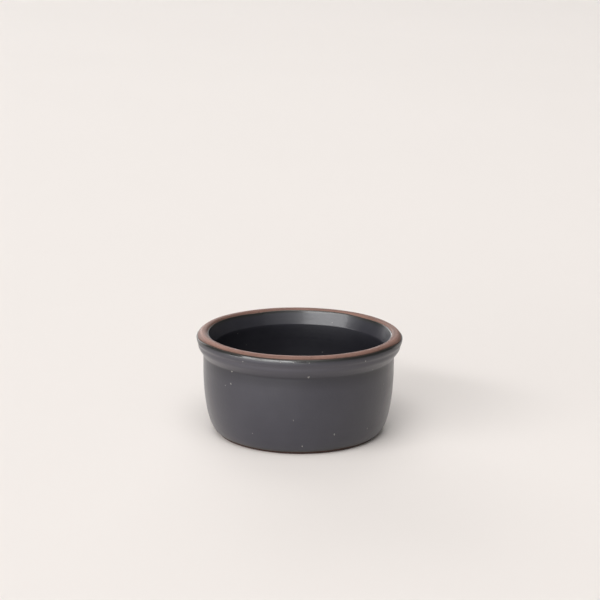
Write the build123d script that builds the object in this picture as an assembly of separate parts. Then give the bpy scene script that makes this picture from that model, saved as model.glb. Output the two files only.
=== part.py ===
from build123d import *
from math import asin, degrees, sqrt
import os

# Stoneware ramekin: one turned and fired clay pot with its glaze coats.
# Millimetres, +Z up, origin at the centre of the foot's underside.
# Every piece is a turned form. Its outline is drawn with the radius along X and the height
# along Y, then stood up on the XZ plane and turned about Z.
# An outline runs up the inside, over the lip and down the outside, with the clay on its right.
# Each stretch that carries glaze is drawn twice: at depth zero, the glaze's face, and at the
# glaze's own depth, the clay's face under it.

# Whole pot
rim_diameter = 102.0
height = 51.0
glaze_thickness = 0.5
glaze_bead = 0.25

# Bare lip: a flat top that rolls over into a bead on the outside, with a neck under it
lip_width = 5.25
mouth_round = 1.2
lip_round = 3.3
neck_round = 1.5
mouth_glaze_drop = 1.0
lip_glaze_drop = 2.1

# Outside collar: an upright band a step inside the lip, a shoulder and a slope in to the crease
collar_step = 0.75
collar_height = 2.0
shoulder_round = 4.5
slope_width = 2.75
slope_height = 4.3
crease_round = 1.6

# Outside wall: upright under the crease, then one long curve in to the foot
upright_height = 7.8
wall_pull = 13.0
heel_inset = 1.8
heel_height = 4.6
foot_glaze_inset = 6.0
foot_glaze_height = 1.3

# Bare foot: a rounded corner, a flat ring to stand on and a shallow recess inside it
foot_inset = 7.3
foot_round = 0.8
foot_ring_width = 4.4
recess_slope = 1.4
recess_depth = 1.5
recess_round = 0.8
recess_glaze_inset = 1.4

# Inside: a flared band under the mouth, a crisp ledge, an upright wall and a rounded floor
band_width = 3.25
band_height = 7.6
ledge_round = 0.7
bowl_upright_height = 7.4
bowl_pull = 24.0
floor_height = 6.5
floor_inset = 15.5
floor_pull = 14.0

rim_radius = rim_diameter / 2
mouth_radius = rim_radius - lip_width
collar_radius = rim_radius - collar_step
wall_radius = collar_radius - slope_width
foot_radius = wall_radius - foot_inset
recess_edge_radius = foot_radius - foot_ring_width
recess_radius = recess_edge_radius - recess_slope
base_glaze_radius = recess_radius - recess_glaze_inset
bowl_radius = mouth_radius - band_width
floor_radius = bowl_radius - floor_inset

lip_centre = (rim_radius - lip_round, height - lip_round)
lip_glaze_angle = degrees(asin(1 - lip_glaze_drop / lip_round))
neck_reach = lip_round + neck_round
neck_across = neck_reach - collar_step
neck_below = sqrt(neck_reach**2 - neck_across**2)
neck_centre = (lip_centre[0] + neck_across, lip_centre[1] - neck_below)
neck_angle = degrees(asin(neck_below / neck_reach))

# The inside band leans in a straight line from the mouth's corner to the ledge
band_lean = band_width / band_height
mouth_glaze_point = (mouth_radius - band_lean * mouth_glaze_drop, height - mouth_glaze_drop)
foot_glaze_point = (wall_radius - foot_glaze_inset, foot_glaze_height)


def beside(points, depth):
    """A chain of points moved sideways, to its right, by a depth into the clay."""
    corners = [Vector(*point) for point in points]
    rights = [(b - a).normalized().rotate(Axis.Z, -90) for a, b in zip(corners, corners[1:])]
    before = [rights[0], *rights]
    after = [*rights, rights[-1]]
    return [c + (p + q) * depth / (1 + p.dot(q)) for c, p, q in zip(corners, before, after)]


def bowl_line(depth):
    """The inside, from the floor's centre up to the glaze line at the mouth."""
    ledge = height - band_height
    curve_top = ledge - bowl_upright_height
    floor_curve = [
        (0, floor_height),
        (floor_radius, floor_height),
        (floor_radius + floor_pull, floor_height),
        (bowl_radius, curve_top - bowl_pull),
        (bowl_radius, curve_top),
    ]
    side = [(bowl_radius, curve_top), (bowl_radius, ledge), mouth_glaze_point]
    return Bezier(*beside(floor_curve, depth)) + FilletPolyline(
        *beside(side, depth), radius=ledge_round - depth
    )


def wall_line(depth):
    """The outside, from the glaze line under the lip down to the one above the foot."""
    lip = CenterArc(lip_centre, lip_round - depth, lip_glaze_angle, -lip_glaze_angle - neck_angle)
    neck = CenterArc(neck_centre, neck_round + depth, 180 - neck_angle, neck_angle)
    shoulder = neck_centre[1] - collar_height
    crease = shoulder - slope_height
    curve_top = crease - upright_height
    collar = [
        (collar_radius, neck_centre[1]),
        (collar_radius, shoulder),
        (wall_radius, crease),
        (wall_radius, curve_top),
    ]
    side = FilletPolyline(*beside(collar, depth), radius=[shoulder_round - depth, crease_round + depth])
    heel_curve = [
        (wall_radius, curve_top),
        (wall_radius, curve_top - wall_pull),
        (wall_radius - heel_inset, heel_height),
        foot_glaze_point,
    ]
    return lip + neck + side + Bezier(*beside(heel_curve, depth))


def base_line(depth):
    """The underside inside the foot ring, from its glaze line to the centre."""
    return Line(*beside([(base_glaze_radius, recess_depth), (0, recess_depth)], depth))


def bare_lip_line():
    """The lip between its two glaze lines: over the mouth's corner, the flat and the roll."""
    top = FilletPolyline(mouth_glaze_point, (mouth_radius, height), (lip_centre[0], height), radius=mouth_round)
    return top + CenterArc(lip_centre, lip_round, 90, lip_glaze_angle - 90)


def bare_foot_line():
    """The foot between its two glaze lines: its corner, the flat ring and the recess's side."""
    return FilletPolyline(
        foot_glaze_point,
        (foot_radius, 0),
        (recess_edge_radius, 0),
        (recess_radius, recess_depth),
        (base_glaze_radius, recess_depth),
        radius=[foot_round, foot_round, recess_round],
    )


def section(*lines):
    """The flat face inside a closed run of lines."""
    return make_face([edge for line in lines for edge in line.edges()])


def edge_line(face, under, end):
    """The short step between a glaze's face and the clay's face at one end of a stretch."""
    return Line(face @ end, under @ end)


def coat_section(face, under):
    """A glaze coat's face, between the pot's surface and the clay under it."""
    return section(face, under, edge_line(face, under, 0), edge_line(face, under, 1))


def beaded(flat, *ends):
    """A coat's section with its outer corner rounded where the glaze stops."""
    corners = [flat.vertices().sort_by_distance(end)[0] for end in ends]
    return fillet(corners, glaze_bead)


def turned(flat):
    """A solid turned about Z from its section."""
    return revolve(Plane.XZ * flat, Axis.Z)


bowl, bowl_under = bowl_line(0), bowl_line(glaze_thickness)
wall, wall_under = wall_line(0), wall_line(glaze_thickness)
base, base_under = base_line(0), base_line(glaze_thickness)

clay_section = section(
    bowl_under,
    edge_line(bowl, bowl_under, 1),
    bare_lip_line(),
    edge_line(wall, wall_under, 0),
    wall_under,
    edge_line(wall, wall_under, 1),
    bare_foot_line(),
    edge_line(base, base_under, 0),
    base_under,
    Line(base_under @ 1, bowl_under @ 0),
)

pieces = {
    "clay_body": clay_section,
    "inner_glaze": beaded(coat_section(bowl, bowl_under), bowl @ 1),
    "outer_glaze": beaded(coat_section(wall, wall_under), wall @ 0, wall @ 1),
    "base_glaze": beaded(coat_section(base, base_under), base @ 0),
}

os.makedirs("parts", exist_ok=True)
for name, flat in pieces.items():
    export_step(turned(flat), f"parts/{name}.step")
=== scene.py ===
import math

import bpy
import numpy as np
from mathutils import Matrix, Vector


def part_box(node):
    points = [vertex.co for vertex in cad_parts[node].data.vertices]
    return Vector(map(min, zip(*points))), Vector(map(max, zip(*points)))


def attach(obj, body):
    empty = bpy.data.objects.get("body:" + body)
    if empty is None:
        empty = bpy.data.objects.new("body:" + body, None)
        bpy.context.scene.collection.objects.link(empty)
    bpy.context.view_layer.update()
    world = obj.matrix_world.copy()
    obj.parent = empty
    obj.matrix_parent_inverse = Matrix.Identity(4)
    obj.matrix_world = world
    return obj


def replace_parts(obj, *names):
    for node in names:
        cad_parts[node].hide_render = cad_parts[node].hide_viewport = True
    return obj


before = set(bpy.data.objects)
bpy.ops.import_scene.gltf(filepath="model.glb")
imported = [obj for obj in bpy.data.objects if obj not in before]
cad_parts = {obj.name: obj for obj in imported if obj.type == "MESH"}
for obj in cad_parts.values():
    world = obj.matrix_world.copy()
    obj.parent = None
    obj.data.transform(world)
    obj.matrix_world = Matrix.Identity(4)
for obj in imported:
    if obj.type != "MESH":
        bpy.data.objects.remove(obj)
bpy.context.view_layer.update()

# A stoneware ramekin: turned brown clay, bare at the rim and at the foot, with a dark satin
# glaze inside, outside and in the recess of the base.
# Metres, +Z up, the pot stands on z = 0 and the camera looks along +Y.
mm = 0.001

# The pot's outline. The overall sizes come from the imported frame.
rim_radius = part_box("outer_glaze")[1].x
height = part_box("clay_body")[1].z
glaze_thickness = 0.5 * mm

# Lip, neck, collar and crease
lip_width = 5.25 * mm
mouth_round = 2.2 * mm
lip_round = 3.3 * mm
neck_round = 3.0 * mm
collar_step = 0.7 * mm
collar_height = 1.0 * mm
shoulder_round = 3.25 * mm
slope_height = 4.1 * mm
crease_round = 1.6 * mm

# Outside wall and heel
wall_radius = rim_radius - 3.4 * mm
upright_height = 7.8 * mm
wall_pull = 13.0 * mm
heel_inset = 1.9 * mm
heel_height = 4.6 * mm

# Inside: a flared band under the mouth, a ledge, an upright wall and a rounded floor
band_height = 7.6 * mm
ledge_height = height - band_height
bowl_radius = rim_radius - 8.5 * mm
ledge_round = 0.7 * mm
bowl_upright_height = 7.4 * mm
bowl_pull = 24.0 * mm
floor_height = 6.5 * mm
floor_inset = 15.5 * mm
floor_pull = 14.0 * mm

# Foot ring and recess
foot_glaze_inset = 6.1 * mm
foot_glaze_height = 1.3 * mm
foot_inset = 7.4 * mm
foot_round = 0.8 * mm
foot_ring_width = 4.4 * mm
recess_slope = 1.4 * mm
recess_depth = 1.5 * mm

# Where the glaze stops: drops below the rim, and how much higher the line runs at the front
mouth_glaze_drop = 1.0 * mm
lip_glaze_drop = 2.1 * mm
lip_glaze_rise = 1.15 * mm
recess_glaze_inset = 1.4 * mm
# The line at the mouth waves twice to the turn and rises at the back, a little off the middle
mouth_line_wave = 0.28 * mm
mouth_line_rise = 0.8 * mm
mouth_rise_turn = math.pi - 0.15
# How each glaze line wavers: height, seed, and the fewest and most waves to the turn
line_wavers = {
    "mouth": ((0.12 * mm, 13, 2, 8), (0.03 * mm, 14, 20, 90)),
    "lip": ((0.06 * mm, 11, 2, 9), (0.03 * mm, 12, 20, 90)),
    "foot": ((0.35 * mm, 15, 2, 10), (0.08 * mm, 16, 15, 60)),
    "base": ((0.5 * mm, 17, 2, 10), (0.08 * mm, 18, 15, 60)),
}

# How far the fired pot is out of true: an oval of the whole wall, and a lip that sits off centre.
# The lip's part comes in between two shares of the height.
out_of_round = 0.12 * mm
oval_turn = 0.7
lip_offset = 0.3 * mm
lip_oval = 0.12 * mm
lip_lean_span = (0.75, 0.95)

# The glaze's edge: how far in it is round, how far it drops there and how it settles behind that
edge_reach = 0.45 * mm
edge_drop = 0.30 * mm
settle_height = 0.03 * mm
settle_reach = 0.7 * mm
# The fuller roll of glaze under the lip, round the sides and the back, and where it thins out
roll_height = 0.14 * mm
roll_span = (0.4 * mm, 1.9 * mm)
# The crest under the lip at the front: its slope, its middle and half its width from the glaze
# line, where it starts, and where past its middle it stops facing up, falls most and ends
crest_turn = math.radians(5)
crest_reach = 1.05 * mm
crest_half = 0.25 * mm
crest_start_span = (0.55 * mm, 0.8 * mm)
crest_edge = crest_reach + crest_half
crest_stop = crest_reach + 1.3 * crest_half
crest_fall = crest_reach + 1.6 * crest_half
crest_end = crest_reach + 6 * crest_half

# Turning rings and waves in the glaze's face, and where they come in from its edge and the axis
ring_lengths = (2.2 * mm, 9 * mm)
wave_depth = 0.02 * mm
wave_counts = (5, 30)
calm_span = (0.2 * mm, 2.5 * mm)
axis_span = (2 * mm, 16 * mm)
# The coats, from which glaze line to which: rows of points, the rings' seed and their depth.
# None is the outline's own end, on the axis.
coats = {
    "outer_glaze": ("lip", "foot", 241, 51, 0.004 * mm),
    "inner_glaze": (None, "mouth", 252, 61, 0.006 * mm),
    "base_glaze": ("base", None, 62, 65, 0.02 * mm),
}

# Marks on the glaze, as distances from a glaze line: where each starts, is full, fades and ends.
# The bead is fullest on one side of the front, and a fainter one lies at the back of the mouth.
bead_turn = math.radians(18)
bead_band = (0.5 * mm, 0.75 * mm, 1.35 * mm, 1.55 * mm)
back_bead_band = (0.1 * mm, 0.25 * mm, 0.7 * mm, 1.9 * mm)
back_bead_share = 0.6
rubbed_band = (1.35 * mm, 1.6 * mm, 2.2 * mm, 3.5 * mm)
# Where the painted light on the collar comes in, as distances below the lip's glaze line
collar_painted_light_span = (1.8 * mm, 4.2 * mm)
# How far the painted shade, with glaze pooled in the crease, reaches below and above the crease, and
# what counts as wall and bowl
shade_pool_below, shade_pool_above = 0.5 * mm, 1.5 * mm
wall_spare = 2 * mm
bowl_fade = 2 * mm
# How much each mark weighs: painted shade with pooled glaze in the bowl, and matter glaze inside and
# where it is rubbed
bowl_pooled_and_shade = 1.1
inside_matter, bowl_matter, rubbed_matter = 0.6, 0.4, 1.5

# How squarely the pot has to face a direction for what lies there to start and to be full, as the
# cosine of the angle
lip_rise_facing = (0.15, 0.6)
mouth_rise_facing = (0.75, 0.97)
crest_facing = (0.1, 0.5)
bead_facing = (0.90, 0.985)
back_bead_facing = (0.80, 0.97)

# The bare clay: how far it lies under the glaze's face at the line, and how far its lip is worn
clay_edge_sink = 0.22 * mm
clay_lip_sink = 0.10 * mm
# How far from a glaze line the clay comes up to the face, is wholly bare, and turns over the lip
clay_rise_span = (-1.2 * mm, -0.1 * mm)
clay_open_span = (0, 1.1 * mm)
clay_roll_span = (3.2 * mm, 4.8 * mm)
# Its turning rings, waves and pits
clay_ring_depth = 0.012 * mm
clay_ring_lengths = (0.5 * mm, 2.2 * mm)
clay_wave_depth = 0.03 * mm
clay_wave_counts = (3, 16)
pit_count = 90
pit_share_on_lip = 0.6
pit_sizes = (0.2 * mm, 0.55 * mm)
pit_depths = (0.03 * mm, 0.10 * mm)
# A distance from the glaze at which the clay isn't dark, and the height up to which the foot is flat
undarkened = 2 * mm
standing_height = 0.05 * mm

# Seeds of the clay's rings, its waves and its pits, and of the flecks
clay_ring_seed, clay_wave_seed, pit_seed, fleck_seed = 31, 32, 33, 71

# How finely the meshes are drawn
around_count = 720
curve_count = 240
line_step = 0.05 * mm
least_step = 0.0001 * mm
hidden_step = 10
hidden_depth = glaze_thickness + 0.03 * mm
two_edge_crowding = 0.92
one_edge_crowding = 0.85
clay_step = 0.14 * mm
clay_hidden_step = 1.2 * mm
clay_spare = 2.5 * mm


def arc(centre, radius, start, end):
    """Points on an arc, with its angles in degrees."""
    turns = np.radians(np.linspace(start, end, curve_count))
    return np.stack([centre[0] + radius * np.cos(turns), centre[1] + radius * np.sin(turns)], 1)


def bezier(*points):
    """Points on a Bezier curve."""
    share = np.linspace(0, 1, curve_count)[:, None]
    level = [np.array(point) for point in points]
    while len(level) > 1:
        level = [a * (1 - share) + b * share for a, b in zip(level, level[1:])]
    return level[0]


def rounded(points, radii):
    """Straight runs with their inner corners rounded."""
    points = [np.array(point, float) for point in points]
    line = [points[0][None]]
    for before, corner, after, radius in zip(points, points[1:], points[2:], radii):
        back = (before - corner) / np.linalg.norm(before - corner)
        on = (after - corner) / np.linalg.norm(after - corner)
        half = math.acos(np.clip(back @ on, -1, 1)) / 2
        reach = radius / math.tan(half)
        centre = corner + (back + on) / np.linalg.norm(back + on) * radius / math.sin(half)
        start, end = corner + back * reach - centre, corner + on * reach - centre
        turn = math.atan2(start[0] * end[1] - start[1] * end[0], start @ end)
        first = math.atan2(start[1], start[0])
        line.append(arc(centre, radius, math.degrees(first), math.degrees(first + turn)))
    line.append(points[-1][None])
    return np.concatenate(line)


def whole_outline():
    """The pot's surface from the middle of the bowl, over the lip, to the middle of the base.
    Returns its points, the four places along it where a glaze stops, and the heights where it turns."""
    mouth_radius = rim_radius - lip_width
    curve_top = ledge_height - bowl_upright_height
    floor_radius = bowl_radius - floor_inset
    bowl = bezier(
        (0, floor_height),
        (floor_radius, floor_height),
        (floor_radius + floor_pull, floor_height),
        (bowl_radius, curve_top - bowl_pull),
        (bowl_radius, curve_top),
    )
    lip_centre = (rim_radius - lip_round, height - lip_round)
    inside_corners = [
        (bowl_radius, curve_top),
        (bowl_radius, ledge_height),
        (mouth_radius, height),
        (lip_centre[0], height),
    ]
    inside = rounded(inside_corners, [ledge_round, mouth_round])

    neck_across = lip_round + neck_round - collar_step
    neck_below = math.sqrt((lip_round + neck_round) ** 2 - neck_across**2)
    neck_centre = (lip_centre[0] + neck_across, lip_centre[1] - neck_below)
    neck_angle = math.degrees(math.asin(neck_below / (lip_round + neck_round)))
    lip = arc(lip_centre, lip_round, 90, -neck_angle)
    neck = arc(neck_centre, neck_round, 180 - neck_angle, 180)

    collar_radius = rim_radius - collar_step
    shoulder = neck_centre[1] - collar_height
    crease = shoulder - slope_height
    wall_top = crease - upright_height
    collar_corners = [
        (collar_radius, neck_centre[1]),
        (collar_radius, shoulder),
        (wall_radius, crease),
        (wall_radius, wall_top),
    ]
    collar = rounded(collar_corners, [shoulder_round, crease_round])
    foot_glaze = (wall_radius - foot_glaze_inset, foot_glaze_height)
    heel = bezier(
        (wall_radius, wall_top),
        (wall_radius, wall_top - wall_pull),
        (wall_radius - heel_inset, heel_height),
        foot_glaze,
    )

    foot_radius = wall_radius - foot_inset
    recess_edge = foot_radius - foot_ring_width
    recess_radius = recess_edge - recess_slope
    foot_corners = [
        foot_glaze,
        (foot_radius, 0),
        (recess_edge, 0),
        (recess_radius, recess_depth),
        (0, recess_depth),
    ]
    foot = rounded(foot_corners, [foot_round, foot_round, foot_round])

    band_lean = (mouth_radius - bowl_radius) / band_height
    lip_glaze_angle = math.asin(1 - lip_glaze_drop / lip_round)
    stops = {
        "mouth": (mouth_radius - mouth_glaze_drop * band_lean, height - mouth_glaze_drop),
        "lip": (lip_centre[0] + lip_round * math.cos(lip_glaze_angle), height - lip_glaze_drop),
        "foot": foot_glaze,
        "base": (recess_radius - recess_glaze_inset, recess_depth),
    }
    turns = {"ledge": ledge_height, "shoulder": shoulder, "crease": crease, "wall_top": wall_top}
    return np.concatenate([bowl, inside, lip, neck, collar, heel, foot]), stops, turns


class Outline:
    """A line that is read by the distance along it."""

    def __init__(self, points):
        steps = np.linalg.norm(np.diff(points, axis=0), axis=1)
        points = points[np.concatenate([[True], steps > least_step])]
        steps = np.linalg.norm(np.diff(points, axis=0), axis=1)
        along = np.concatenate([[0], np.cumsum(steps)])
        self.length = along[-1]
        self.along = np.linspace(0, self.length, int(self.length / line_step))
        self.radius = np.interp(self.along, along, points[:, 0])
        self.height = np.interp(self.along, along, points[:, 1])
        across, up = np.gradient(self.radius), np.gradient(self.height)
        size = np.hypot(across, up)
        self.out_across, self.out_up = -up / size, across / size

    def place(self, along, depth):
        """Radius and height at a distance along the line, sunk by a depth into the clay."""
        out_across = np.interp(along, self.along, self.out_across)
        out_up = np.interp(along, self.along, self.out_up)
        radius = np.interp(along, self.along, self.radius) - depth * out_across
        up = np.interp(along, self.along, self.height) - depth * out_up
        return radius, up

    def nearest(self, point):
        """The distance along the line of the place nearest a point."""
        return self.along[np.argmin(np.hypot(self.radius - point[0], self.height - point[1]))]


def smooth(value, start, end):
    """0 before start, 1 after end and an even ease between them."""
    share = np.clip((value - start) / (end - start), 0, 1)
    return share * share * (3 - 2 * share)


def band(value, start, full, fade, end):
    """1 from full to fade, with an even ease from 0 at start and to 0 at end."""
    return smooth(value, start, full) * (1 - smooth(value, fade, end))


def waver(angle, seed, slowest, fastest):
    """A seeded closed wave round the pot, about 1 high, of waves slowest to fastest to the turn."""
    peak = 1.5
    draw = np.random.default_rng(seed)
    counts = np.arange(slowest, fastest + 1)
    total = sum(
        draw.normal() * np.sin(count * angle + draw.uniform(0, 2 * math.pi)) / math.sqrt(count / slowest)
        for count in counts
    )
    return total / math.sqrt(sum(slowest / count for count in counts) / 2) / peak


def rings(angle, along, seed, shortest, longest):
    """Seeded turning rings: waves along the line that wander a little round the pot."""
    draw = np.random.default_rng(seed)
    count, most_lead = 14, 2
    total = 0
    for _ in range(count):
        length = math.exp(draw.uniform(math.log(shortest), math.log(longest)))
        lead = draw.integers(-most_lead, most_lead + 1)
        phase = draw.uniform(0, 2 * math.pi)
        total = total + np.sin(2 * math.pi * along / length + lead * angle + phase)
    return total / math.sqrt(count / 2)


outline_points, glaze_stops, turn_heights = whole_outline()
pot = Outline(outline_points)
stop_along = {name: pot.nearest(point) for name, point in glaze_stops.items()}
# The angle runs round from the camera's side, positive to the right
angles = np.linspace(0, 2 * math.pi, around_count, endpoint=False)


def towards(turn, start, full):
    """1 at the angles that face a turn squarely, easing to 0 away from it."""
    return smooth(np.cos(angles - turn), start, full)


def glaze_line(name):
    """Where a glaze stops all round the pot, as a distance along the outline."""
    line = np.full(around_count, stop_along[name])
    if name == "lip":
        line = line - lip_glaze_rise * towards(0, *lip_rise_facing)
    if name == "mouth":
        line = line - mouth_line_wave * np.cos(2 * angles)
        line = line + mouth_line_rise * towards(mouth_rise_turn, *mouth_rise_facing)
    for size, seed, slowest, fastest in line_wavers[name]:
        line = line + size * waver(angles, seed, slowest, fastest)
    return line


lines = {name: glaze_line(name) for name in glaze_stops}


def lean(angle, along):
    """How far the wall stands out of true round at an angle and a distance along the outline."""
    share = np.interp(along, pot.along, pot.height) / height
    oval = out_of_round * np.sin(2 * angle - oval_turn) * smooth(share, 0, 1)
    lip_lean = lip_offset * np.sin(angle) - lip_oval * np.cos(2 * angle)
    return oval + lip_lean * smooth(share, *lip_lean_span)


def linked(name, points, faces):
    """An object in the scene with a smooth mesh of points and faces."""
    mesh = bpy.data.meshes.new(name)
    mesh.from_pydata(points, [], faces)
    mesh.validate()
    mesh.shade_smooth()
    piece = bpy.data.objects.new(name, mesh)
    bpy.context.scene.collection.objects.link(piece)
    return piece


def skin(name, radius, up, poles):
    """A mesh from rows of rings. With poles, its first and last ring are drawn in to one point."""
    rows = radius.shape[0]
    x = radius * np.sin(angles)[None]
    y = -radius * np.cos(angles)[None]
    points = np.stack([x, y, up], 2).reshape(-1, 3)
    column = np.arange(around_count)
    nexts = np.roll(column, -1)
    row = np.arange(rows - 1 if poles else rows)[:, None] * around_count
    below = (row + around_count) % (rows * around_count)
    quads = np.stack([row + column, row + nexts, below + nexts, below + column], 2)
    faces = quads.reshape(-1, 4).tolist()
    if poles:
        first = len(points)
        points = np.concatenate([points, [[0, 0, up[0].mean()], [0, 0, up[-1].mean()]]])
        last_row = (rows - 1) * around_count
        pole, other_pole = np.full(around_count, first), np.full(around_count, first + 1)
        faces += np.stack([nexts, column, pole], 1).tolist()
        faces += np.stack([last_row + column, last_row + nexts, other_pole], 1).tolist()
    return linked(name, points.tolist(), faces)


def give(piece, name, values):
    """A number for each point of a mesh, for its material to read."""
    attribute = piece.data.attributes.new(name, "FLOAT", "POINT")
    padded = np.zeros(len(piece.data.vertices), np.float32)
    padded[: values.size] = values.reshape(-1)
    attribute.data.foreach_set("value", padded)


def stations(fine_spans, length, fine, coarse):
    """Distances along a line, close together inside the fine spans and far apart elsewhere."""
    marks = [0.0]
    while marks[-1] < length:
        here = marks[-1]
        inside = any(start <= here < end for start, end in fine_spans)
        ahead = [start for start, _ in fine_spans if start > here]
        step = fine if inside else coarse
        if not inside and ahead:
            step = min(step, max(fine, min(ahead) - here))
        marks.append(here + step)
    marks[-1] = length
    return np.array(marks)


def clay_pits(along, draw):
    """How deep the clay is pitted at each point, by seeded small round pits at the lip and the foot."""
    deep = np.zeros_like(along)
    for _ in range(pit_count):
        ends = ("mouth", "lip") if draw.random() < pit_share_on_lip else ("foot", "base")
        middle = draw.uniform(stop_along[ends[0]], stop_along[ends[1]])
        turn = draw.uniform(0, 2 * math.pi)
        size = draw.uniform(*pit_sizes)
        aside = np.angle(np.exp(1j * (angles - turn)))[None]
        across = aside * np.interp(middle, pot.along, pot.radius)
        away = (across**2 + (along - middle) ** 2) / size**2
        deep = np.maximum(deep, draw.uniform(*pit_depths) * np.exp(-away))
    return deep


def clay_pot():
    """The fired clay: bare and showing at the lip and the foot, hidden under the glazes elsewhere."""
    spans = [
        (stop_along["mouth"] - clay_spare, stop_along["lip"] + clay_spare),
        (stop_along["foot"] - clay_spare, stop_along["base"] + clay_spare),
    ]
    marks = stations(spans, pot.length, clay_step, clay_hidden_step)[1:-1]
    along = np.repeat(marks[:, None], around_count, 1)
    mid_lip = (stop_along["mouth"] + stop_along["lip"]) / 2
    mid_wall = (stop_along["lip"] + stop_along["foot"]) / 2
    mid_foot = (stop_along["foot"] + stop_along["base"]) / 2
    from_line = np.where(along < mid_foot, along - lines["foot"], lines["base"] - along)
    from_line = np.where(along < mid_wall, lines["lip"] - along, from_line)
    from_line = np.where(along < mid_lip, along - lines["mouth"], from_line)
    # The clay is dark beside every glaze line but the one at the mouth
    darkened = np.where(along < mid_lip, undarkened, from_line)
    bare = smooth(from_line, *clay_rise_span)
    open_clay = smooth(from_line, *clay_open_span)
    outer_roll = smooth(along - stop_along["mouth"], *clay_roll_span) * (along < mid_wall)
    ringed = rings(angles[None], along, clay_ring_seed, *clay_ring_lengths)
    waves = waver(angles, clay_wave_seed, *clay_wave_counts)[None]
    pits = clay_pits(along, np.random.default_rng(pit_seed))
    relief = clay_lip_sink * outer_roll + clay_ring_depth * ringed + clay_wave_depth * waves + pits
    depth = glaze_thickness * (1 - bare) + bare * clay_edge_sink * (1 - open_clay) + relief * open_clay
    stands = np.interp(along, pot.along, pot.height) < standing_height
    depth = np.where(stands, np.maximum(depth, 0), depth)
    radius, up = pot.place(along, depth)
    piece = skin("stoneware_pot", radius + lean(angles[None], along), np.maximum(up, 0), poles=True)
    give(piece, "from_glaze", darkened / mm)
    give(piece, "from_mouth", (along - lines["mouth"]) / mm)
    give(piece, "pitted", pits / mm)
    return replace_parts(piece, "clay_body")


def lip_relief(from_edge, rise):
    """How much the glaze stands out under the lip: a roll at the sides and the back, and at the
    front a narrow crest that faces up to the light and falls away under it."""
    front = towards(0, *crest_facing)
    roll = roll_height * (1 - front) * (1 - smooth(from_edge, *roll_span)) * rise
    across = np.clip((from_edge - crest_reach) / crest_half, -1, 1)
    upward = across * band(from_edge, *crest_start_span, crest_edge, crest_stop)
    downward = band(from_edge, crest_edge, crest_fall, crest_fall, crest_end)
    slope = math.tan(crest_turn) * front * (upward - downward)
    # Only the half of the line that is nearer the lip carries the crest
    step = np.diff(from_edge, axis=0, prepend=from_edge[:1])
    nearer = np.arange(len(from_edge))[:, None] < len(from_edge) // 2
    return roll + np.cumsum(slope * np.where(nearer, step, 0), axis=0)


def glaze_depth(along, from_edge, under_lip, seed, ring_depth):
    """How deep the glaze's face lies under the outline: round at its edge, with rings and waves."""
    rise = np.sqrt(np.clip(1 - (1 - np.clip(from_edge / edge_reach, 0, 1)) ** 2, 0, 1))
    settle = np.exp(-np.clip(from_edge - edge_reach, 0, None) / settle_reach)
    depth = edge_drop * (1 - rise) - settle_height * settle * rise
    if under_lip:
        depth = depth - lip_relief(from_edge, rise)
    calm = smooth(from_edge, *calm_span)
    off_axis = smooth(np.interp(along, pot.along, pot.radius), *axis_span)
    ringed = rings(angles[None], along, seed, *ring_lengths)
    waves = waver(angles, seed + 1, *wave_counts)[None]
    return depth + (ring_depth * ringed * calm + wave_depth * waves * (1 - 0.5 * calm)) * off_axis


def mark_glaze(piece, reach):
    """Gives a coat's points what its material reads, from their distances along the outline."""
    up = np.interp(reach, pot.along, pot.height)
    ledge, shoulder = turn_heights["ledge"], turn_heights["shoulder"]
    crease, wall_top = turn_heights["crease"], turn_heights["wall_top"]
    wall = (reach > stop_along["lip"] - wall_spare) & (reach < stop_along["foot"] + wall_spare)
    inside = reach < stop_along["mouth"]
    bowl = inside * (1 - smooth(up, ledge - bowl_fade, ledge))
    under_lip = reach - lines["lip"][None]
    under_mouth = lines["mouth"][None] - reach

    # Painted light: the collar and shoulder above the crease are painted lighter, as light from above
    # falls on them
    collar_painted_light = wall * smooth(up, crease, shoulder) * smooth(under_lip, *collar_painted_light_span)
    # Painted shade: darker at the crease and down the wall under the collar, where its shade falls, with
    # glaze pooled in the crease
    pooled_and_shade = wall * band(up, wall_top, crease - shade_pool_below, crease, crease + shade_pool_above)
    rubbed = band(under_lip, *rubbed_band)
    front_bead = band(under_lip, *bead_band) * towards(-bead_turn, *bead_facing)
    back_bead = band(under_mouth, *back_bead_band) * towards(math.pi, *back_bead_facing)
    give(piece, "collar_painted_light", collar_painted_light)
    give(piece, "pooled_and_shade", pooled_and_shade + bowl_pooled_and_shade * bowl)
    give(piece, "matter", inside_matter * inside + bowl_matter * bowl + rubbed_matter * rubbed)
    give(piece, "bead", front_bead + back_bead_share * back_bead)
    give(piece, "wall", wall.astype(float))


def share_marks(count, start, end):
    """Shares of a coat's length, crowded towards its edges and without the place on the axis."""
    even = np.linspace(0, 1, count)
    if start and end:
        return even - two_edge_crowding * np.sin(2 * math.pi * even) / (2 * math.pi)
    crowded = np.sin(even * math.pi / 2) if end else 1 - np.cos(even * math.pi / 2)
    crowded = one_edge_crowding * crowded + (1 - one_edge_crowding) * even
    return crowded[1:] if end else crowded[:-1]


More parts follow.
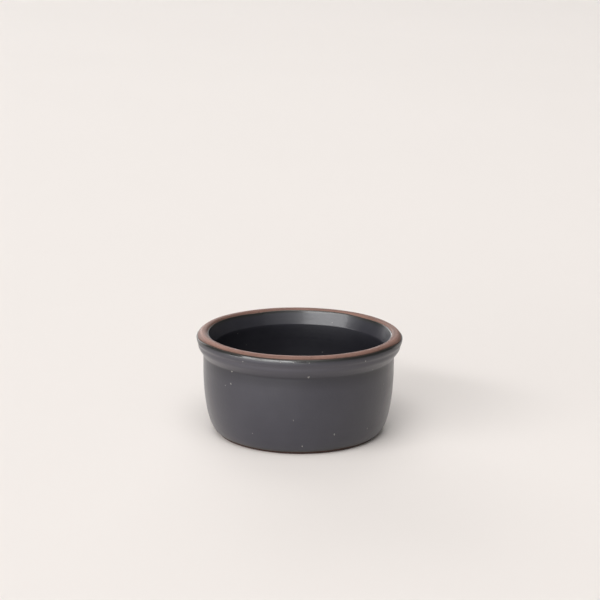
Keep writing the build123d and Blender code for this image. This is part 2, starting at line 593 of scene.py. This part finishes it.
def coat(node):
    """A coat of glaze from one glaze line to another, thick and rounded where it stops."""
    start, end, count, seed, ring_depth = coats[node]
    first = np.zeros(around_count) if start is None else lines[start]
    last = np.full(around_count, pot.length) if end is None else lines[end]
    along = first[None] + (last - first)[None] * share_marks(count, start, end)[:, None]
    to_start = np.inf if start is None else along - first[None]
    to_end = np.inf if end is None else last[None] - along
    from_edge = np.minimum(to_start, to_end)
    face = pot.place(along, glaze_depth(along, from_edge, start == "lip", seed, ring_depth))
    hidden = along[::-hidden_step]
    under = pot.place(hidden, hidden_depth)

    def joined(shown, covered):
        """Rows of the face and of the side on the clay, in an order that starts and ends on the axis."""
        return np.concatenate([covered, shown] if end is None else [shown, covered])

    radius = joined(face[0] + lean(angles, along), under[0] + lean(angles, hidden))
    piece = skin(node + "_coat", radius, joined(face[1], under[1]), poles=start is None or end is None)
    mark_glaze(piece, joined(along, hidden))
    give(piece, "from_edge", joined(from_edge, from_edge[::-hidden_step]) / mm)
    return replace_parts(piece, node)


def tree_of(name):
    """A new material's node tree and its shader."""
    material = bpy.data.materials.new(name)
    material.use_nodes = True
    tree = material.node_tree
    return material, tree, tree.nodes["Principled BSDF"]


def add(tree, kind, settings=None, **inputs):
    """A node with its settings and inputs, by the input's name or as i and its number.
    An input is a number, a colour or another node's output."""
    made = tree.nodes.new("ShaderNode" + kind)
    for key, value in (settings or {}).items():
        setattr(made, key, value)
    for key, value in inputs.items():
        numbered = key[0] == "i" and key[1:].isdigit()
        socket = made.inputs[int(key[1:]) if numbered else key.replace("_", " ")]
        if isinstance(value, bpy.types.NodeSocket):
            tree.links.new(value, socket)
        else:
            socket.default_value = value
    return made


def ramp(tree, value, *stops):
    """A colour ramp from (place, colour) stops."""
    made = add(tree, "ValToRGB", Fac=value)
    elements = made.color_ramp.elements
    while len(elements) < len(stops):
        elements.new(0.5)
    for element, (place, colour) in zip(elements, stops):
        element.position = place
        element.color = (*colour, 1)
    return made.outputs["Color"]


def spread(tree, value, low, high, to_low, to_high):
    """A value mapped from one range to another."""
    made = add(tree, "MapRange", i0=value, i1=low, i2=high, i3=to_low, i4=to_high)
    return made.outputs[0]


def mixed(tree, share, a, b, blend="MIX"):
    """Two colours mixed."""
    made = tree.nodes.new("ShaderNodeMix")
    made.data_type = "RGBA"
    made.blend_type = blend
    for socket, value in ((made.inputs[0], share), (made.inputs[6], a), (made.inputs[7], b)):
        if isinstance(value, bpy.types.NodeSocket):
            tree.links.new(value, socket)
        else:
            socket.default_value = (*value, 1) if isinstance(value, tuple) else value
    return made.outputs[2]


def tinted(tree, body, value, low, high, share, tone):
    """A colour mixed towards a tone: none of it at the value low, a share of it at high."""
    return mixed(tree, spread(tree, value, low, high, 0, share), body, tone)


def noise(tree, place, scale, detail, rough=0.55):
    """A noise texture's value, with its scale in waves to the metre."""
    return add(tree, "TexNoise", Vector=place, Scale=scale, Detail=detail, Roughness=rough).outputs[0]


def given(tree, name):
    """A number that was given to the points of the mesh."""
    return add(tree, "Attribute", {"attribute_name": name}).outputs["Fac"]


def around_axis(tree, place):
    """The place folded on to the turning plane, so that what is drawn with it runs in rings."""
    parts = add(tree, "SeparateXYZ", Vector=place)
    flat = add(tree, "CombineXYZ", X=parts.outputs[0], Y=parts.outputs[1])
    reach = add(tree, "VectorMath", {"operation": "LENGTH"}, i0=flat.outputs[0])
    drift = add(tree, "Math", {"operation": "MULTIPLY"}, i0=parts.outputs[0], i1=0.02)
    folded = add(tree, "CombineXYZ", X=reach.outputs["Value"], Y=drift.outputs[0], Z=parts.outputs[2])
    return folded.outputs[0]


# The glaze's colours, all linear: its tones from dark to light, what is mixed in, among it a painted
# light on the collar and a painted shade at the crease and in the bowl, and its thin edge
glaze_tones = (
    (0.30, (0.0175, 0.0168, 0.0225)),
    (0.50, (0.0215, 0.0205, 0.0270)),
    (0.72, (0.0265, 0.0250, 0.0325)),
)
glaze_ring_tone = (0.026, 0.027, 0.031)
glaze_wall_tone = (0.034, 0.0325, 0.042)
glaze_speck_tone = (0.060, 0.057, 0.056)
glaze_pore_tone = (0.008, 0.008, 0.010)
glaze_collar_painted_light_tone = (0.048, 0.045, 0.054)
glaze_pooled_and_shade_tone = (0.006, 0.006, 0.009)
glaze_edge_tones = (
    (0.0, (0.040, 0.022, 0.016)),
    (0.08, (0.016, 0.013, 0.010)),
    (0.30, (0.012, 0.012, 0.010)),
    (0.7, (0.020, 0.020, 0.021)),
)
# How rough the glaze is: its satin at its smoothest and roughest, its dry edge and its bead
satin_low, satin_high = 0.285, 0.335
matter_rough = 0.10
edge_rough = 0.6
bead_rough = 0.14

# The clay's colours: its tones from dark to light, what is mixed in, among it a painted shade at the
# foot, and the lip's painted shade, which it is multiplied by from the mouth outwards
clay_tones = (
    (0.28, (0.200, 0.113, 0.090)),
    (0.52, (0.242, 0.137, 0.110)),
    (0.75, (0.285, 0.163, 0.131)),
)
clay_grog_tone = (0.37, 0.25, 0.20)
clay_iron_tone = (0.075, 0.042, 0.033)
clay_ring_tone = (0.13, 0.073, 0.057)
clay_line_tone = (0.030, 0.017, 0.013)
clay_foot_shade_tone = (0.036, 0.019, 0.016)
clay_pit_tone = (0.085, 0.048, 0.037)
clay_lip_painted_shade = (
    (0.0, (0.70, 0.70, 0.70)),
    (0.28, (0.74, 0.74, 0.74)),
    (0.40, (1.01, 1.01, 1.01)),
    (0.52, (0.98, 0.98, 0.98)),
    (0.66, (0.70, 0.69, 0.68)),
    (1.0, (0.58, 0.57, 0.56)),
)
clay_smooth, clay_rough = 0.52, 0.66

# The flecks' and the floor's colours, from dark to light
fleck_tones = (
    (0.3, (0.11, 0.105, 0.10)),
    (0.7, (0.22, 0.21, 0.20)),
)
floor_tones = (
    (0.3, (0.751, 0.705, 0.671)),
    (0.7, (0.763, 0.716, 0.682)),
)


def glaze_material():
    """Dark satin glaze: brown where it thins at its edge, charcoal with a faint mottle elsewhere."""
    material, tree, shader = tree_of("dark_satin_glaze")
    place = add(tree, "TexCoord").outputs["Object"]
    edge = given(tree, "from_edge")
    wall = given(tree, "wall")
    grain = noise(tree, place, 2600, 2)
    ringed = noise(tree, around_axis(tree, place), 420, 2)
    body = ramp(tree, noise(tree, place, 90, 5), *glaze_tones)
    body = tinted(tree, body, ringed, 0.35, 0.75, 0.35, glaze_ring_tone)
    body = tinted(tree, body, wall, 0, 1, 0.5, glaze_wall_tone)
    body = tinted(tree, body, grain, 0.66, 0.78, 0.5, glaze_speck_tone)
    body = tinted(tree, body, grain, 0.34, 0.24, 0.6, glaze_pore_tone)
    # Painted light: the collar is painted lighter where light from above falls on it
    body = tinted(tree, body, given(tree, "collar_painted_light"), 0, 1, 0.75, glaze_collar_painted_light_tone)
    # Painted shade: darker at the crease, down the wall under it and in the bowl, with glaze pooled
    # thicker there
    body = tinted(tree, body, given(tree, "pooled_and_shade"), 0, 1, 0.5, glaze_pooled_and_shade_tone)
    thin = ramp(tree, spread(tree, edge, 0, 2.0, 0, 1), *glaze_edge_tones)
    body = mixed(tree, spread(tree, edge, 1.0, 2.2, 0, 1), thin, body)
    tree.links.new(body, shader.inputs["Base Color"])

    satin = spread(tree, noise(tree, place, 160, 3), 0.3, 0.7, satin_low, satin_high)
    matter = given(tree, "matter")
    satin = add(tree, "Math", {"operation": "MULTIPLY_ADD"}, i0=matter, i1=matter_rough, i2=satin)
    rough = spread(tree, edge, 0.1, 0.5, edge_rough, satin.outputs[0])
    rough = spread(tree, given(tree, "bead"), 0, 1, rough, bead_rough)
    tree.links.new(rough, shader.inputs["Roughness"])
    tree.links.new(spread(tree, wall, 0, 1, 0.5, 0.40), shader.inputs["Specular IOR Level"])
    shader.inputs["IOR"].default_value = 1.54
    shader.inputs["Coat Weight"].default_value = 0.2
    shader.inputs["Coat Roughness"].default_value = 0.16
    peel = noise(tree, place, 700, 3, 0.5)
    bump = add(tree, "Bump", Height=peel, Strength=0.06, Distance=0.6 * mm)
    tree.links.new(bump.outputs[0], shader.inputs["Normal"])
    return material


def clay_material():
    """Unglazed brown stoneware: fine grain, dark iron points, pale grog and turning lines."""
    material, tree, shader = tree_of("bare_stoneware")
    place = add(tree, "TexCoord").outputs["Object"]
    from_mouth = given(tree, "from_mouth")
    tone = noise(tree, place, 70, 5)
    grain = noise(tree, place, 1700, 3)
    ringed = noise(tree, around_axis(tree, place), 1500, 3)
    body = ramp(tree, tone, *clay_tones)
    body = tinted(tree, body, grain, 0.60, 0.74, 0.6, clay_grog_tone)
    body = tinted(tree, body, grain, 0.40, 0.28, 0.7, clay_iron_tone)
    body = tinted(tree, body, ringed, 0.40, 0.70, 0.25, clay_ring_tone)
    body = tinted(tree, body, given(tree, "from_glaze"), 0.6, 0.1, 0.9, clay_line_tone)
    # Painted shade: the lip is multiplied darker over the mouth's rounded corner and the outer roll,
    # lightest on its flat top
    lip = ramp(tree, spread(tree, from_mouth, 0, 7, 0, 1), *clay_lip_painted_shade)
    body = mixed(tree, 1.0, body, lip, "MULTIPLY")
    # Painted shade: the bare clay of the foot is painted nearly dark, as the shade where the pot stands
    # on the floor
    body = tinted(tree, body, from_mouth, 20, 30, 0.95, clay_foot_shade_tone)
    body = tinted(tree, body, given(tree, "pitted"), 0.01, 0.06, 0.6, clay_pit_tone)
    tree.links.new(body, shader.inputs["Base Color"])
    rough = spread(tree, tone, 0.3, 0.7, clay_smooth, clay_rough)
    tree.links.new(rough, shader.inputs["Roughness"])
    shader.inputs["IOR"].default_value = 1.5
    shader.inputs["Specular IOR Level"].default_value = 0.18
    relief = add(tree, "Math", {"operation": "ADD"}, i0=grain, i1=ringed)
    bump = add(tree, "Bump", Height=relief.outputs[0], Strength=0.25, Distance=0.3 * mm)
    tree.links.new(bump.outputs[0], shader.inputs["Normal"])
    return material


def fleck_material():
    """Pale mineral flecks that came up through the glaze."""
    material, tree, shader = tree_of("mineral_fleck")
    place = add(tree, "TexCoord").outputs["Object"]
    tone = noise(tree, place, 900, 3)
    body = ramp(tree, tone, *fleck_tones)
    tree.links.new(body, shader.inputs["Base Color"])
    shader.inputs["Roughness"].default_value = 0.45
    return material


def floor_material():
    """A plain pale matt surface with a barely visible unevenness."""
    material, tree, shader = tree_of("pale_matt_floor")
    place = add(tree, "TexCoord").outputs["Object"]
    tone = noise(tree, place, 1.2, 3)
    body = ramp(tree, tone, *floor_tones)
    tree.links.new(body, shader.inputs["Base Color"])
    shader.inputs["Roughness"].default_value = 0.9
    shader.inputs["Specular IOR Level"].default_value = 0.2
    return material


# Flecks at the front, as the angle from it in degrees, the height and the width in millimetres
fleck_places = [
    (-42.2, 39.6, 0.9), (-43.1, 33.3, 0.8), (-47.9, 31.6, 0.5), (-31.6, 46.8, 0.6), (-9.7, 48.6, 0.5),
    (-2.8, 48.7, 0.5), (5.7, 40.9, 1.2), (5.7, 48.6, 0.5), (38.6, 46.8, 0.7), (47.9, 40.3, 0.7),
    (47.8, 10.1, 0.8), (22.5, 10.8, 0.8), (2.8, 5.2, 0.7), (-2.7, 19.1, 0.5), (-28.7, 10.1, 0.5),
]
# One on the band inside the mouth, the same way, and how far out from the bowl's wall it lies
band_fleck = (156.4, 45.0, 0.8)
band_fleck_out = 0.7 * mm
# Flecks that are strewn over the sides and the back, and in the bowl: how many, between which
# angles in degrees, and between which distances along the outline
strewn_flecks = (
    (34, 60, 300, stop_along["lip"] + 1.5 * mm, stop_along["foot"] - 1.5 * mm),
    (26, -180, 180, 6 * mm, stop_along["mouth"] - 8 * mm),
)
fleck_widths = (0.35 * mm, 0.9 * mm)
# A fleck's dome: its points, how far it stands up and is sunk, and how uneven and long it is
fleck_sides, fleck_levels = 14, 3
fleck_dome, fleck_sink = 0.09 * mm, 0.03 * mm
fleck_two_waves, fleck_three_waves = 0.16, 0.12
fleck_stretches = (0.7, 1.25)


def fleck_spots(draw):
    """Every fleck as its angle, its distance along the outline and its width."""
    outside = np.where(pot.along > stop_along["lip"])[0]
    spots = []
    for turn, up, width in fleck_places:
        index = outside[np.argmin(np.abs(pot.height[outside] - up * mm))]
        spots.append((math.radians(turn), pot.along[index], width * mm))
    turn, up, width = band_fleck
    along = pot.nearest((bowl_radius + band_fleck_out, up * mm))
    spots.append((math.radians(turn), along, width * mm))
    for count, first_turn, last_turn, first, last in strewn_flecks:
        for _ in range(count):
            turn = draw.uniform(math.radians(first_turn), math.radians(last_turn))
            along = draw.uniform(first, last)
            spots.append((turn, along, draw.uniform(*fleck_widths)))
    return spots


def fleck_point(spot, share, around, phase, stretch):
    """A point of a fleck's low dome, at a share of its width and an angle round its middle."""
    turn, along, width = spot
    uneven = fleck_two_waves * math.sin(2 * around + phase[0])
    uneven = uneven + fleck_three_waves * math.sin(3 * around + phase[1])
    reach = width / 2 * share * (1 + uneven)
    away = along + reach * math.sin(around) / stretch
    radius, up = pot.place(away, fleck_sink - fleck_dome * (1 - share**2))
    angle = turn + reach * math.cos(around) * stretch / max(radius, 1 * mm)
    radius = radius + lean(angle, away)
    return radius * math.sin(angle), -radius * math.cos(angle), up


def flecks():
    """Small flat grains that lie in the face of the glaze, each an uneven low dome."""
    draw = np.random.default_rng(fleck_seed)
    points, faces = [], []
    for spot in fleck_spots(draw):
        phase = draw.uniform(0, 2 * math.pi, 2)
        stretch = draw.uniform(*fleck_stretches)
        centre, ring = len(points), len(points) + 1
        points.append(fleck_point(spot, 0, 0, phase, stretch))
        for level in range(1, fleck_levels + 1):
            for side in range(fleck_sides):
                around = 2 * math.pi * side / fleck_sides
                points.append(fleck_point(spot, level / fleck_levels, around, phase, stretch))
        for side in range(fleck_sides):
            faces.append((centre, ring + side, ring + (side + 1) % fleck_sides))
        for level in range(fleck_levels - 1):
            inner = ring + level * fleck_sides
            outer = inner + fleck_sides
            for side in range(fleck_sides):
                on = (side + 1) % fleck_sides
                faces.append((inner + side, outer + side, outer + on, inner + on))
    piece = linked("glaze_flecks", points, faces)
    return piece


def build_pot():
    """Every piece of the pot, with its material, riding on the one body."""
    glaze, clay = glaze_material(), clay_material()
    coated = [coat(node) for node in coats]
    made = {clay_pot(): clay, **dict.fromkeys(coated, glaze), flecks(): fleck_material()}
    for piece, material in made.items():
        piece.data.materials.append(material)
        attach(piece, "root")


# The floor's half width and thickness in metres
floor_half = 9.0
floor_deep = 0.02


def build_floor():
    """A wide plain floor, thick enough to be a real slab."""
    around = [(x * floor_half, y * floor_half) for x, y in ((-1, -1), (1, -1), (1, 1), (-1, 1))]
    corners = [(x, y, z) for z in (-floor_deep, 0) for x, y in around]
    faces = [(3, 2, 1, 0), (4, 5, 6, 7), (0, 1, 5, 4), (1, 2, 6, 5), (2, 3, 7, 6), (3, 0, 4, 7)]
    mesh = bpy.data.meshes.new("studio_floor")
    mesh.from_pydata(corners, [], faces)
    floor = bpy.data.objects.new("studio_floor", mesh)
    floor.data.materials.append(floor_material())
    bpy.context.scene.collection.objects.link(floor)


# The lamps: azimuth from the camera's side, positive to the right, and elevation, both in degrees,
# then how wide and how high the pot sees them, in degrees, and the light they throw on it in W/m2
strips = {
    "key_strip": (-37, 30, 57, 8, 1.74),
    "low_strip": (-40, 6, 86, 12, 3.65),
}
discs = {
    "overhead": (-5, 72, 50, 1.31),
    "high_front": (0, 50, 36, 0.50),
    "high_left": (-75, 45, 36, 0.14),
    "fill_right": (30, 35, 36, 0.12),
    "high_back": (180, 60, 36, 0.25),
    "back": (180, 8, 36, 0.85),
    "back_left": (-155, 8, 36, 1.25),
}
# How far off the strips stand, in metres, and the strength of the even light all round
strip_distance = 16.0
surround_strength = 0.11

# The camera: its lens and sensor in millimetres, its place, and its turns in degrees
lens = 100.88
sensor = 36.0
camera_place = (0.35 * mm, -810.57 * mm, 264.28 * mm)
look_down = 13.70
camera_roll = 0.6
camera_far = 60.0


def lamp(name, kind, azimuth, elevation):
    """A lamp of some kind that looks at the pot from a direction."""
    light = bpy.data.lights.new(name, kind)
    piece = bpy.data.objects.new(name, light)
    turn, up = math.radians(azimuth), math.radians(elevation)
    direction = Vector((math.cos(up) * math.sin(turn), -math.cos(up) * math.cos(turn), math.sin(up)))
    piece.location = direction * strip_distance
    piece.rotation_euler = direction.to_track_quat("Z", "Y").to_euler()
    bpy.context.scene.collection.objects.link(piece)
    return light


def build_light():
    """Two lit strips from the front left, one over the other, and soft light from above and behind."""
    world = bpy.data.worlds.new("studio_surround")
    world.use_nodes = True
    background = world.node_tree.nodes["Background"]
    background.inputs["Color"].default_value = (1.0, 1.0, 1.0, 1)
    background.inputs["Strength"].default_value = surround_strength
    bpy.context.scene.world = world
    for name, (azimuth, elevation, wide, high, strength) in strips.items():
        light = lamp(name, "AREA", azimuth, elevation)
        light.shape = "RECTANGLE"
        light.size = 2 * strip_distance * math.tan(math.radians(wide / 2))
        light.size_y = 2 * strip_distance * math.tan(math.radians(high / 2))
        light.energy = strength * math.pi * strip_distance**2
    for name, (azimuth, elevation, across, strength) in discs.items():
        light = lamp(name, "SUN", azimuth, elevation)
        light.angle = math.radians(across)
        light.energy = strength


def build_camera():
    """The camera, low in front of the pot, with a slight roll."""
    camera = bpy.data.cameras.new("camera")
    camera.sensor_width = sensor
    camera.lens = lens
    camera.clip_end = camera_far
    eye = bpy.data.objects.new("camera", camera)
    eye.matrix_world = (
        Matrix.Translation(camera_place)
        @ Matrix.Rotation(math.radians(90 - look_down), 4, "X")
        @ Matrix.Rotation(math.radians(camera_roll), 4, "Z")
    )
    bpy.context.scene.collection.objects.link(eye)
    bpy.context.scene.camera = eye
    bpy.context.scene.view_settings.view_transform = "Standard"


build_pot()
build_floor()
build_light()
build_camera()

bpy.context.view_layer.update()
